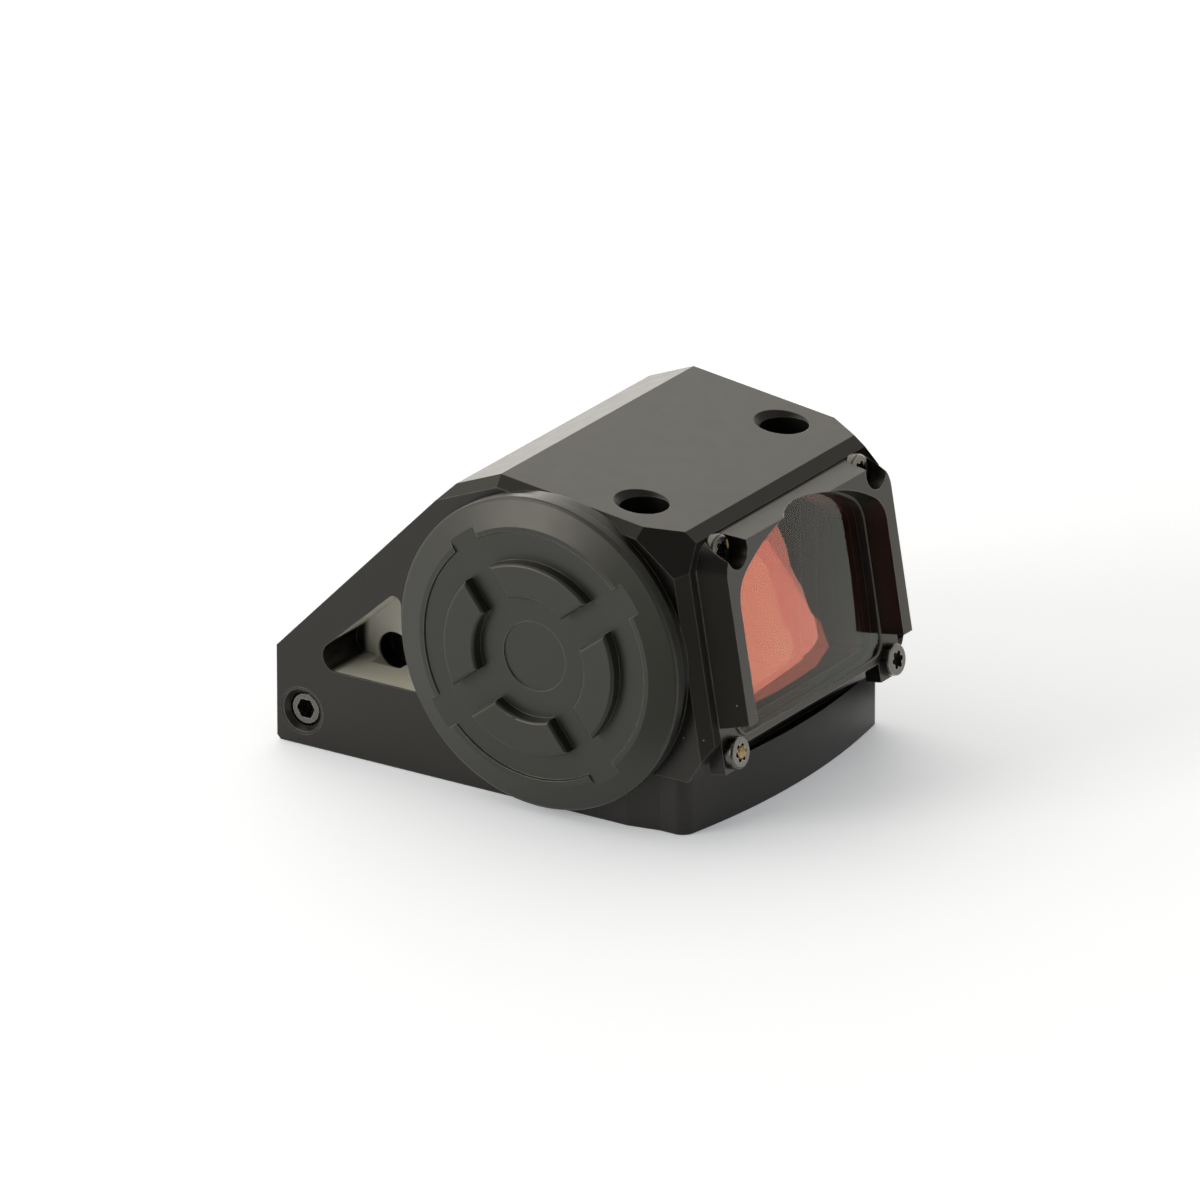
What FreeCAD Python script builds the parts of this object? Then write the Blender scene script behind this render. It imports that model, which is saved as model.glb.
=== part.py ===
import FreeCAD as App
import Part
import math
import os

# Compact enclosed reflex sight (red dot finder). Millimetres. X runs from the rear face to the
# front lens, the battery cap is on the -Y side, Z is up and Z = 0 is the mounting face.
# Everything is drawn from the rear face and moved at export so that the origin lies between
# the two mounting holes.

V = App.Vector
WIDTH = 30.8
HALF = WIDTH / 2
HOLE_X, HOLE_Y = 33.05, 10.62
HOLE_R, COUNTERBORE_R, COUNTERBORE_Z = 1.35, 2.05, 23.2
REAR_H = 8.35
SLOPE_TOP = (17.3, 26.08)
BEVEL_TOP = (21.65, 27.85)
ROOF_FRONT = (38.43, 25.82)
BROW = (39.49, 25.06)
LEAN = 0.172
CHIN = (BROW[0] + LEAN * (BROW[1] - 8.3), 8.3)
CHIN_BACK = (40.4, 5.1)
BASE_TOP = 5.1
BASE_FRONT = 41.3
EDGE = 0.87

CAP_X, CAP_Z = 27.05, 14.1
BOSS_R, BOSS_T = 13.3, 0.7
THREAD_R, THREAD_T = 12.05, 1.6
CELL_R, CELL_T = 10.0, 3.2
BAY_R, BAY_T = 10.3, 2.5
CAP_R, CAP_FACE, CAP_CREST = 13.5, 2.45, 2.63
PIN_Z = 4.98

WIND_X, WIND_Z = 2.5, 3.0
ELEV_X = 3.6
WINDOW_X = 11.45
KEY_X = (17.0, 24.5)
KEY_Z = 11.5


def place(shape, origin, ex, ey, ez):
    m = App.Matrix(ex[0], ey[0], ez[0], origin[0],
                   ex[1], ey[1], ez[1], origin[1],
                   ex[2], ey[2], ez[2], origin[2], 0, 0, 0, 1)
    out = shape.copy()
    out.Placement = App.Placement(m).multiply(out.Placement)
    return out


LEAN_ANGLE = math.atan(LEAN)
SLOPE_ANGLE = math.atan2(SLOPE_TOP[1] - REAR_H, SLOPE_TOP[0])
FRONT_ORIGIN = (BROW[0] + LEAN * (BROW[1] - 16.0), 0.0, 16.0)


def on_front(shape):
    """Local x = Y, y = up the leaning front plane, z = outward normal."""
    c, s = math.cos(LEAN_ANGLE), math.sin(LEAN_ANGLE)
    return place(shape, FRONT_ORIGIN, (0, 1, 0), (-s, 0, c), (c, 0, s))


def on_slope(shape):
    """Local x = -Y, y = up the rear slope, z = outward normal, centred on the rear window."""
    c, s = math.cos(SLOPE_ANGLE), math.sin(SLOPE_ANGLE)
    origin = (WINDOW_X, 0, REAR_H + WINDOW_X * math.tan(SLOPE_ANGLE))
    return place(shape, origin, (0, -1, 0), (c, 0, s), (-s, 0, c))


def on_cap(shape):
    """Local x = X, y = Z, z = outward from the cap-side face."""
    return place(shape, (CAP_X, -HALF, CAP_Z), (1, 0, 0), (0, 0, 1), (0, -1, 0))


def box(x0, x1, y0, y1, z0, z1):
    return Part.makeBox(x1 - x0, y1 - y0, z1 - z0, V(x0, y0, z0))


def prism(points, z0, z1):
    """Closed polygon in local x, y pulled from z0 to z1."""
    wire = Part.makePolygon([V(x, y, z0) for x, y in points] + [V(points[0][0], points[0][1], z0)])
    return Part.Face(wire).extrude(V(0, 0, z1 - z0))


def xz_prism(points, y0, y1):
    """Closed polygon given in X, Z pulled along Y."""
    wire = Part.makePolygon([V(x, y0, z) for x, z in points] + [V(points[0][0], y0, points[0][1])])
    return Part.Face(wire).extrude(V(0, y1 - y0, 0))


def cyl(r, z0, z1, x=0.0, y=0.0):
    return Part.makeCylinder(r, z1 - z0, V(x, y, z0))


def y_cyl(r, y0, y1, x, z):
    return Part.makeCylinder(r, y1 - y0, V(x, y0, z), V(0, 1, 0))


def hexagon(af, z0, z1, x=0.0, y=0.0):
    r = af / math.sqrt(3)
    pts = [(x + r * math.cos(math.radians(60 * k)), y + r * math.sin(math.radians(60 * k)))
           for k in range(6)]
    return prism(pts, z0, z1)


def star(r, z0, z1, x=0.0, y=0.0):
    """Six-lobe driver recess."""
    core = cyl(r * 0.72, z0, z1, x, y)
    for k in range(6):
        a = math.radians(60 * k)
        core = core.fuse(cyl(r * 0.28, z0, z1, x + 0.72 * r * math.cos(a), y + 0.72 * r * math.sin(a)))
    return core.removeSplitter()


def upright_edges(shape):
    return [e for e in shape.Edges
            if abs(e.Vertexes[0].X - e.Vertexes[-1].X) < 1e-6
            and abs(e.Vertexes[0].Y - e.Vertexes[-1].Y) < 1e-6]


def vertical_fillet(shape, r):
    return shape.makeFillet(r, upright_edges(shape))


def rounded(half_x, half_y, r, z0, z1, x=0.0, y=0.0):
    pts = [(x - half_x, y - half_y), (x + half_x, y - half_y),
           (x + half_x, y + half_y), (x - half_x, y + half_y)]
    return vertical_fillet(prism(pts, z0, z1), r)


def trim(shape, point, normal):
    """Remove everything beyond the plane through point with this outward normal."""
    block = Part.makeBox(120, 120, 60, V(-60, -60, 0))
    block.Placement = App.Placement(V(*point), App.Rotation(V(0, 0, 1), V(*normal)))
    return shape.cut(block)


def join(first, *others):
    out = first
    for other in others:
        out = out.fuse(other)
    return out.removeSplitter()


def group(solids):
    return Part.makeCompound(solids)


# ---------------------------------------------------------------- outlines on the front plane

def arch_outline(half, radius, bottom, corner, grow, z0, z1):
    """Lens outline: straight sides and sill, a wide arch on top, rounded corners."""
    half, radius, bottom = half + grow, radius + grow, bottom - grow
    centre = 8.71 - 18.25
    body = prism([(-half, bottom), (half, bottom), (half, 12), (-half, 12)], z0, z1)
    body = body.common(cyl(radius, z0, z1, 0, centre))
    body = body.makeFillet(corner + grow, [e for e in upright_edges(body) if e.Vertexes[0].Y > 0])
    low = [e for e in upright_edges(body) if e.Vertexes[0].Y < bottom + 0.01]
    return body.makeFillet(1.6 + grow, low)


def lens_outline(grow, z0, z1):
    return arch_outline(11.2, 18.25, -8.3, 3.0, grow, z0, z1)


def flange_outline(grow, z0, z1):
    g = grow
    side = [(13.5 + g, 7.0), (12.4 + g, 8.5 + g), (10.6 + g * 0.5, 9.05 + g)]
    foot = [(13.5 + g, -10.5 - g), (10.3 - g, -10.5 - g), (10.3 - g, -8.85 - g)]
    pts = [(x, y) for x, y in side] + [(-x, y) for x, y in reversed(side)]
    pts += [(-x, y) for x, y in foot] + [(x, y) for x, y in reversed(foot)]
    return prism(pts, z0, z1)


BEZEL_SCREWS = [(-10.6, 7.86), (10.6, 7.86), (-12.0, -9.03), (12.0, -9.03)]


# ---------------------------------------------------------------- housing

def outer_block():
    profile = [(0, BASE_TOP), (0, REAR_H), SLOPE_TOP, BEVEL_TOP, ROOF_FRONT, BROW,
               CHIN, CHIN_BACK]
    hood = xz_prism(profile, -HALF, HALF)
    for side in (-1, 1):
        for a, b in ((SLOPE_TOP, BEVEL_TOP), (BEVEL_TOP, ROOF_FRONT)):
            length = math.hypot(b[0] - a[0], b[1] - a[1])
            nx, nz = -(b[1] - a[1]) / length, (b[0] - a[0]) / length
            hood = trim(hood, (a[0], side * (HALF - EDGE), a[1]), (nx, side, nz))
        hood = trim(hood, (35.46, side * (HALF - EDGE), 26.18), (0.444, side * 0.668, 0.599))
        c, s = math.cos(LEAN_ANGLE), math.sin(LEAN_ANGLE)
        hood = trim(hood, (BROW[0], side * (HALF - 0.95), BROW[1]), (c, side, s))
    pts = [V(0, -HALF, 0), V(34.5, -HALF, 0), V(37.3, -14.85, 0), V(38.75, -14.85, 0)]
    edges = [Part.LineSegment(pts[k], pts[k + 1]).toShape() for k in range(3)]
    edges.append(Part.Arc(pts[3], V(39.58, -14.5, 0), V(39.9, -13.9, 0)).toShape())
    edges.append(Part.Arc(V(39.9, -13.9, 0), V(BASE_FRONT, 0, 0), V(39.9, 13.9, 0)).toShape())
    edges.append(Part.Arc(V(39.9, 13.9, 0), V(39.58, 14.5, 0), V(38.75, 14.85, 0)).toShape())
    back = [V(38.75, 14.85, 0), V(37.3, 14.85, 0), V(34.5, HALF, 0), V(0, HALF, 0), V(0, -HALF, 0)]
    edges += [Part.LineSegment(back[k], back[k + 1]).toShape() for k in range(4)]
    base = Part.Face(Part.Wire(edges)).extrude(V(0, 0, BASE_TOP))
    block = join(hood, base)
    block = trim(block, (0.35, 0, 0), (-1, 0, -1))
    return join(block, on_cap(cyl(BOSS_R, -0.5, BOSS_T)))


def pocket_tool():
    """Triangular side pocket behind the battery boss, with a small blind bore in its corner."""
    k = 0.9025
    shape = prism([(2.5, 7.15), (20, 7.15), (20, 7.15 + 17.5 * k)], 0, 6.0)
    shape = shape.cut(cyl(14.7, -1, 7, CAP_X, CAP_Z))
    solid = sorted(shape.Solids, key=lambda s: s.BoundBox.XMin)[0]
    solid = solid.makeFillet(1.3, [e for e in upright_edges(solid) if e.Vertexes[0].X < 3])
    solid = solid.makeFillet(0.7, [e for e in upright_edges(solid) if e.Vertexes[0].Y > 12])
    solid.translate(V(0, 0, -5.0))
    tool = join(solid, cyl(1.65, -7.0, -3.6, 8.4, 7.95))
    return place(tool, (0, -HALF, 0), (1, 0, 0), (0, 0, 1), (0, -1, 0))


def tunnel_tool():
    """Light path and electronics space between the two windows."""
    t = math.tan(SLOPE_ANGLE)

    def inner(x):
        return REAR_H + t * (x - 4.6)

    main = xz_prism([(8.2, 2.8), (8.2, inner(8.2)), (19.6, inner(19.6)), (22.4, 25.3), (35.8, 23.7),
                     (35.8, 2.8)], -7.4, 7.4)
    upper = xz_prism([(8.2, 6.0), (8.2, inner(8.2)), (19.6, inner(19.6)), (22.4, 25.3), (35.8, 23.7),
                      (35.8, 6.0)], -8.0, 8.0)
    flare = on_front(lens_outline(-1.0, -8.0, -1.0))
    flare = flare.common(box(35.7, 60, -20, 20, 6.0, 30))
    return join(main, upper, flare)


def mechanism_tool():
    """Chamber for the dot adjustment behind the rear wall."""
    gallery = box(0.95, 5.0, -7.4, 7.4, 1.3, 4.95)
    chamber = box(4.9, 8.3, -7.4, 7.4, 1.8, 9.2)
    loft = box(1.5, 4.95, -4.6, 4.6, 4.9, 8.6)
    shaft = cyl(2.02, 8.5, 14, ELEV_X, 0)
    return join(gallery, chamber, loft, shaft)


def housing():
    body = outer_block()
    body = body.cut(tunnel_tool()).cut(mechanism_tool()).cut(pocket_tool())
    body = body.cut(on_front(flange_outline(0.1, -1.5, 4.0)))
    body = body.cut(on_slope(rounded(10.1, 7.7, 1.2, -0.9, 3)))
    body = body.cut(on_slope(rounded(8.35, 6.45, 1.0, -2.1, 0)))
    body = body.cut(on_slope(rounded(7.4, 5.5, 0.8, -8.0, 0)).common(
        xz_prism([(5, 10), (5, 30), (30, 30), (30, 10)], -9, 9)))
    body = body.cut(on_cap(cyl(THREAD_R, -THREAD_T, BOSS_T + 1)))
    body = body.cut(on_cap(cyl(BAY_R, -BAY_T, 0)))
    body = body.cut(y_cyl(0.95, -13.2, -7.0, CAP_X, PIN_Z))
    body = body.cut(y_cyl(2.07, -HALF - 1, -7.0, WIND_X, WIND_Z))
    for side in (-1, 1):
        y = side * HOLE_Y
        body = body.cut(cyl(HOLE_R, -1, 30, HOLE_X, y))
        body = body.cut(cyl(COUNTERBORE_R, COUNTERBORE_Z, 30, HOLE_X, y))
        roof = BEVEL_TOP[1] - 0.121 * (HOLE_X - BEVEL_TOP[0])
        body = body.cut(Part.makeCone(COUNTERBORE_R, COUNTERBORE_R + 0.9, 0.9,
                                      V(HOLE_X, y, roof - 0.25)))
        for x in (12.2, 30.0):
            body = body.fuse(cyl(1.3, 2.6, 3.58, x, side * 5.6))
            body = body.cut(cyl(0.57, 2.65, 4, x, side * 5.6))
    body = body.cut(rounded(9.95, 8.6, 1.0, -1, 1.0, 20, 0))
    body = body.cut(rounded(6.8, 7.0, 1.0, 0, 3, 20, 0))
    for x, y in BOTTOM_SCREWS:
        body = body.cut(cyl(0.82, 0, 2.35, x, y))
    for y, v in BEZEL_SCREWS:
        body = body.cut(on_front(cyl(0.82, -5.4, 0, y, v)))
    for y, v in REAR_SCREWS:
        body = body.cut(on_slope(cyl(0.62, -2.9, 0, y, v)))
    body = body.cut(key_side(rounded(8.75, 6.5, 2.0, -1.2, 1)))
    body = body.cut(key_side(rounded(7.15, 4.9, 2.2, -3.2, 1)))
    for x, z in KEY_SCREWS:
        body = body.cut(key_side(cyl(0.62, -4.0, 0, x, z)))
    return max(body.removeSplitter().Solids, key=lambda s: s.Volume)


# ---------------------------------------------------------------- underside

BOTTOM_SCREWS = [(x, y) for x in (11.6, 28.4) for y in (-6.6, 6.6)]


def bottom_cover():
    plate = rounded(9.88, 8.53, 0.95, 0.05, 0.8, 20, 0)
    for x, y in BOTTOM_SCREWS:
        plate = plate.cut(cyl(0.9, 0, 1, x, y)).cut(cyl(1.42, 0, 0.5, x, y))
    return plate


def bottom_gasket():
    ring = rounded(9.88, 8.53, 0.95, 0.8, 1.0, 20, 0).cut(rounded(6.9, 7.1, 1.0, 0.7, 1.1, 20, 0))
    for x, y in BOTTOM_SCREWS:
        ring = ring.cut(cyl(0.95, 0, 2, x, y))
    return ring


def flat_screw(head_r, head_t, shank_r, length, drive):
    """Low-head screw: head top at z = 0, pointing to -z."""
    s = cyl(head_r, -head_t, 0).fuse(cyl(shank_r, -length, -head_t))
    return s.removeSplitter().cut(drive)


def bottom_screws():
    out = []
    for x, y in BOTTOM_SCREWS:
        s = flat_screw(1.36, 0.42, 0.8, 2.25, star(0.6, -0.32, 0.1))
        out.append(place(s, (x, y, 0.06), (1, 0, 0), (0, -1, 0), (0, 0, -1)))
    return group(out)


# ---------------------------------------------------------------- front window

def front_bezel():
    flange = flange_outline(0.0, -1.48, 0.0)
    outlines = ((13.45, 9.03, 0.0), (12.5, 8.4, 2.31))
    wires = []
    for half, top, z in outlines:
        corners = [V(-half, -6.55, z), V(half, -6.55, z), V(half, top, z), V(-half, top, z)]
        wires.append(Part.makePolygon(corners + corners[:1]))
    rim = Part.makeLoft(wires, True, True)
    upper = [e for e in rim.Edges if e.BoundBox.YMin > 8.0 and e.BoundBox.ZLength > 2.0]
    body = join(flange, rim.makeFillet(2.6, upper))
    body = body.cut(lens_outline(0.0, -3, 6))
    for y, v in BEZEL_SCREWS:
        body = body.cut(cyl(0.9, -3, 1, y, v)).cut(cyl(1.52, 0.0, 6, y, v))
    return on_front(max(body.removeSplitter().Solids, key=lambda s: s.Volume))


def bezel_screws():
    out = []
    for y, v in BEZEL_SCREWS:
        head = cyl(1.375, 0.02, 0.78, y, v)
        head = head.makeFillet(0.25, [e for e in head.Edges if e.BoundBox.ZMin > 0.7])
        s = join(head, cyl(0.8, -5.2, 0.02, y, v)).cut(star(0.82, 0.2, 1.0, y, v))
        out.append(on_front(s))
    return group(out)


def sphere(radius, sag_z):
    """Ball whose top is at local z = sag_z. Its poles lie sideways, clear of the lens, for an even mesh."""
    return Part.makeSphere(radius, V(0, 0, sag_z - radius), V(0, 1, 0))


LENS_FRONT, LENS_MID, LENS_BACK = 0.55, -0.45, -1.45


def front_lens_outer():
    blank = lens_outline(-0.28, -4, 4)
    body = blank.common(sphere(150, LENS_FRONT))
    return on_front(body.cut(sphere(90, LENS_MID)))


def front_lens_inner():
    blank = lens_outline(-0.28, -4, 4)
    body = blank.common(sphere(90, LENS_MID - 0.03))
    return on_front(body.cut(cyl(40, -10, LENS_BACK)))


def front_lens_seal():
    ring = lens_outline(-0.02, LENS_BACK, 0.12).cut(lens_outline(-0.26, -4, 4))
    return on_front(ring)


# ---------------------------------------------------------------- rear window

REAR_SCREWS = [(y, v) for y in (-9.0, 9.0) for v in (-6.7, 6.7)]


def rear_window():
    return on_slope(rounded(8.1, 6.2, 0.8, -2.08, -0.95))


def rear_window_seal():
    ring = rounded(8.32, 6.42, 0.98, -2.08, -0.93).cut(rounded(8.13, 6.23, 0.82, -3, 0))
    return on_slope(ring)


def rear_frame():
    plate = rounded(10.03, 7.63, 1.15, -0.88, -0.05).cut(rounded(7.7, 5.8, 0.8, -2, 1))
    top = [e for e in plate.Edges if e.BoundBox.ZMin > -0.06
           and abs(e.BoundBox.XMax) < 7.8 and abs(e.BoundBox.XMin) < 7.8 and e.BoundBox.YMax < 5.9
           and e.BoundBox.YMin > -5.9]
    plate = plate.makeChamfer(0.4, top)
    for y, v in REAR_SCREWS:
        plate = plate.cut(cyl(0.62, -2, 1, y, v)).cut(cyl(0.9, -0.5, 1, y, v))
    return on_slope(plate)


def rear_frame_screws():
    out = []
    for y, v in REAR_SCREWS:
        s = flat_screw(0.86, 0.4, 0.58, 2.7, star(0.5, -0.3, 0.1))
        s.translate(V(y, v, -0.08))
        out.append(on_slope(s))
    return group(out)


# ---------------------------------------------------------------- battery bay

def ring_profile(points):
    wire = Part.makePolygon([V(r, 0, t) for r, t in points] + [V(points[0][0], 0, points[0][1])])
    return Part.Face(wire).revolve(V(0, 0, 0), V(0, 0, 1), 360)


GRIP_ANGLES = [82.5 + 90 * k for k in range(4)]


def battery_cap():
    profile = [(0, 1.75), (10.35, 1.75), (10.35, 1.42), (11.32, 1.42), (11.32, 0.78), (12.08, 0.78),
               (12.08, 1.42), (12.95, 1.42), (12.95, 0.78), (13.35, 0.78), (CAP_R, 0.93), (CAP_R, 1.7),
               (13.43, 1.86), (13.24, 1.97), (11.15, CAP_CREST), (10.72, CAP_CREST), (10.6, CAP_FACE),
               (0, CAP_FACE)]
    body = ring_profile(profile)
    pads = []
    for a in GRIP_ANGLES:
        pad = cyl(8.3, CAP_FACE - 0.2, CAP_FACE + 1.1).cut(cyl(5.3, 0, 6))
        quarter = prism([(1.43, 1.43), (14, 1.43), (14, 14), (1.43, 14)], 0, 6)
        quarter.Placement = App.Placement(V(0, 0, 0), App.Rotation(V(0, 0, 1), a - 45))
        pad = pad.common(quarter)
        top = [e for e in pad.Edges if e.BoundBox.ZMin > CAP_FACE + 1.0]
        pads.append(pad.makeFillet(0.3, top))
    body = body.fuse(pads)
    body = body.cut(cyl(3.0, CAP_FACE - 0.13, CAP_FACE + 0.2)).removeSplitter()
    for a in GRIP_ANGLES:
        slot = Part.makeBox(3.2, 2.8, 3, V(9.4, -1.4, CAP_FACE))
        slot.Placement = App.Placement(V(0, 0, 0), App.Rotation(V(0, 0, 1), a + 45))
        body = body.cut(slot)
    return on_cap(body.removeSplitter())


def cap_thread_ring():
    """Threaded skirt pressed into the back of the cap."""
    return on_cap(ring_profile([(10.37, -1.45), (11.7, -1.45), (11.95, -1.2), (11.95, 0.76),
                                (11.3, 0.76), (11.3, 1.4), (10.37, 1.4)]))


def cap_o_ring():
    return on_cap(Part.makeTorus(12.52, 0.31, V(0, 0, 1.06)))


def cap_contact_disc():
    disc = cyl(8.0, 1.52, 1.72).cut(cyl(3.0, 1, 2))
    for k in range(6):
        a = math.radians(60 * k)
        disc = disc.cut(cyl(0.8, 1, 2, 5.5 * math.cos(a), 5.5 * math.sin(a)))
    return on_cap(disc)


def battery():
    cell = cyl(CELL_R, -1.75 + 0.25, -1.75 + CELL_T)
    cell = cell.makeFillet(0.35, [e for e in cell.Edges if e.BoundBox.ZMin > 1.4])
    return on_cap(join(cell, cyl(8.6, -1.75, -1.4)))


def battery_insulator():
    disc = cyl(10.15, -2.48, -2.12).cut(cyl(0.55, -3, 3, 0, PIN_Z - CAP_Z))
    tube = cyl(0.9, -7.95, -2.48, 0, PIN_Z - CAP_Z).cut(cyl(0.55, -9, 3, 0, PIN_Z - CAP_Z))
    return on_cap(join(disc, tube))


def battery_contact():
    low = PIN_Z - CAP_Z
    strip = box(-1.4, 1.4, low - 1.0, 2.0, -2.1, -1.9)
    pin = cyl(0.5, -9.0, -2.0, 0, low)
    tip = cyl(1.2, -1.9, -1.8)
    return on_cap(join(strip, pin, tip))


# ---------------------------------------------------------------- dot adjustment

def windage_bushing():
    body = y_cyl(2.05, -HALF + 0.05, -7.5, WIND_X, WIND_Z)
    body = body.cut(y_cyl(1.5, -HALF - 1, -12.6, WIND_X, WIND_Z))
    body = body.cut(y_cyl(1.05, -HALF, -7, WIND_X, WIND_Z))
    mouth = Part.makeCone(1.85, 1.5, 0.5, V(WIND_X, -HALF + 0.04, WIND_Z), V(0, 1, 0))
    return body.cut(mouth)


def windage_screw():
    head = y_cyl(1.42, -14.85, -12.7, WIND_X, WIND_Z)
    head = head.makeChamfer(0.15, [e for e in head.Edges if e.BoundBox.YMax < -14.8])
    shank = y_cyl(1.0, -12.7, 6.0, WIND_X, WIND_Z).cut(
        y_cyl(1.2, -7.45, -7.0, WIND_X, WIND_Z).cut(y_cyl(0.72, -8, -6, WIND_X, WIND_Z)))
    drive = place(hexagon(1.6, 0, 1.4), (WIND_X, -14.9, WIND_Z), (1, 0, 0), (0, 0, -1), (0, 1, 0))
    return join(head, shank).cut(drive)


def windage_clip():
    ring = y_cyl(1.4, -7.43, -7.03, WIND_X, WIND_Z).cut(y_cyl(0.75, -8, -6, WIND_X, WIND_Z))
    return ring.cut(box(WIND_X - 0.45, WIND_X + 0.45, -8, -6, WIND_Z, WIND_Z + 3))


def lateral_carriage():
    nut = box(1.15, 4.7, -4.1, 4.1, 1.45, 4.7).cut(y_cyl(1.03, -5, 5, WIND_X, WIND_Z))
    bed = box(4.6, 8.0, -4.1, 4.1, 1.83, 3.3)
    body = nut.fuse(bed)
    for side in (-1, 1):
        y0, y1 = sorted((side * 2.97, side * 4.1))
        post = box(5.65, 8.0, y0, y1, 3.2, 8.4)
        g0, g1 = sorted((side * 2.9, side * 3.5))
        body = body.fuse(post.cut(box(6.36, 7.24, g0, g1, 3.3, 9)))
    return body.removeSplitter()


def emitter_block():
    arm = box(1.75, 5.7, -2.9, 2.9, 5.4, 8.12)
    arm = arm.cut(box(2.3, 4.9, -4, 4, 6.2, 7.35)).cut(box(2.8, 4.4, -4, 4, 7.3, 9))
    head = box(5.6, 7.9, -2.94, 2.94, 4.2, 8.1)
    ribs = box(6.4, 7.2, -3.45, 3.45, 4.2, 8.1)
    body = join(arm, head, ribs)
    body = body.cut(box(2.85, 4.35, -1.4, 1.4, 5.3, 6.3))
    return body.cut(Part.makeCylinder(0.9, 0.6, V(7.4, 0, 7.2), V(1, 0, 0)))


def led_board():
    board = box(7.93, 8.4, -2.4, 2.4, 4.6, 8.0)
    return board.fuse(Part.makeCylinder(0.85, 0.5, V(7.45, 0, 7.2), V(1, 0, 0))).removeSplitter()


def led():
    body = Part.makeCylinder(0.8, 0.5, V(8.42, 0, 7.2), V(1, 0, 0))
    dome = Part.makeSphere(0.7, V(8.92, 0, 7.2)).common(box(8.9, 10, -2, 2, 5, 9))
    return join(body, dome)


def elevation_bushing():
    body = cyl(2.0, 9.0, 11.0, ELEV_X, 0).cut(cyl(1.0, 8, 12, ELEV_X, 0))
    body = body.cut(cyl(1.46, 10.4, 12, ELEV_X, 0))
    return body.makeChamfer(0.2, [e for e in body.Edges if e.BoundBox.ZMin > 10.9
                                  and e.BoundBox.XLength < 3.2])


def elevation_screw():
    """Captive screw: it turns between its head and its clip, and the nut travels."""
    neck = cyl(0.96, 8.56, 10.5, ELEV_X, 0).cut(
        cyl(1.2, 8.66, 8.94, ELEV_X, 0).cut(cyl(0.66, 8, 10, ELEV_X, 0)))
    body = join(cyl(1.42, 10.42, 11.1, ELEV_X, 0), neck, cyl(0.6, 6.2, 8.6, ELEV_X, 0))
    return body.cut(hexagon(1.3, 10.0, 12, ELEV_X, 0))


def elevation_clip():
    ring = cyl(1.5, 8.68, 8.92, ELEV_X, 0).cut(cyl(0.68, 8, 10, ELEV_X, 0))
    return ring.cut(box(ELEV_X - 0.4, ELEV_X + 0.4, 0, 3, 8, 10))


def elevation_nut():
    return box(ELEV_X - 1.2, ELEV_X + 1.2, -1.2, 1.2, 6.26, 7.28).cut(cyl(0.62, 6, 8, ELEV_X, 0))


def carriage_spring():
    """Leaf beside the carriage, in the shape it has with the carriage at the end of its travel."""
    strip = prism([(4.76, 2.0), (4.92, 2.0), (7.34, 4.2), (7.34, 4.4), (7.2, 4.4)], 0, 1.4)
    return place(strip, (5.4, 0, 0), (0, 1, 0), (0, 0, 1), (1, 0, 0))


# ---------------------------------------------------------------- electronics

def main_board():
    board = box(11.0, 31.2, -7.2, 7.2, 3.6, 4.4)
    for x in (12.2, 30.0):
        for side in (-1, 1):
            board = board.cut(cyl(0.65, 3, 5, x, side * 5.6))
    chips = [box(15, 20, -3, 3, 4.4, 5.3), box(22, 24.5, 1, 4, 4.4, 5.1), box(22, 24.5, -4, -1, 4.4, 5.1)]
    chips += [box(26 + 1.2 * k, 26.6 + 1.2 * k, -2, -1, 4.4, 4.8) for k in range(3)]
    return join(board, *chips)


def board_screws():
    out = []
    for x in (12.2, 30.0):
        for side in (-1, 1):
            s = flat_screw(1.0, 0.5, 0.55, 2.15, star(0.5, -0.35, 0.1))
            s.translate(V(x, side * 5.6, 4.92))
            out.append(s)
    return group(out)


def inner_floor():
    plate = box(10.6, 35.6, -7.9, 7.9, 6.02, 6.7)
    for k in range(9):
        x = 12.4 + 2.5 * k
        plate = plate.cut(xz_prism([(x, 6.7), (x + 1.0, 6.7), (x + 1.0, 6.35)], -7.0, 7.0))
    return plate


# ---------------------------------------------------------------- keypad on the right side

KEY_SCREWS = [(x, z) for x in (-7.4, 7.4) for z in (-5.15, 5.15)]


def key_side(shape):
    """Local x = X about the keypad centre, y = -Z, z = outward from the right side."""
    return place(shape, (20.75, HALF, KEY_Z), (1, 0, 0), (0, 0, -1), (0, 1, 0))


def keypad_cover():
    plate = rounded(8.68, 6.43, 1.95, -0.98, -0.08)
    plate = plate.makeChamfer(0.2, [e for e in plate.Edges if e.BoundBox.ZMin > -0.1])
    for x in KEY_X:
        plate = plate.cut(cyl(3.05, -2, 1, x - 20.75, 0))
    for x, z in KEY_SCREWS:
        plate = plate.cut(cyl(0.65, -2, 1, x, z)).cut(cyl(1.02, -0.6, 1, x, z))
    return key_side(plate)


def keypad_gasket():
    ring = rounded(8.68, 6.43, 1.95, -1.18, -0.98).cut(rounded(7.6, 5.35, 2.4, -3, 1))
    corners = [cyl(1.3, -1.18, -0.98, x, z) for x, z in KEY_SCREWS]
    ring = ring.fuse(corners).removeSplitter()
    ring = ring.common(rounded(8.68, 6.43, 1.95, -1.18, -0.98))
    for x in KEY_X:
        ring = ring.cut(cyl(3.6, -3, 1, x - 20.75, 0))
    for x, z in KEY_SCREWS:
        ring = ring.cut(cyl(0.65, -3, 1, x, z))
    return key_side(ring.removeSplitter())


def keypad_screws():
    out = []
    for x, z in KEY_SCREWS:
        s = flat_screw(0.95, 0.45, 0.6, 3.6, star(0.5, -0.3, 0.1))
        s.translate(V(x, z, -0.12))
        out.append(key_side(s))
    return group(out)


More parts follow.
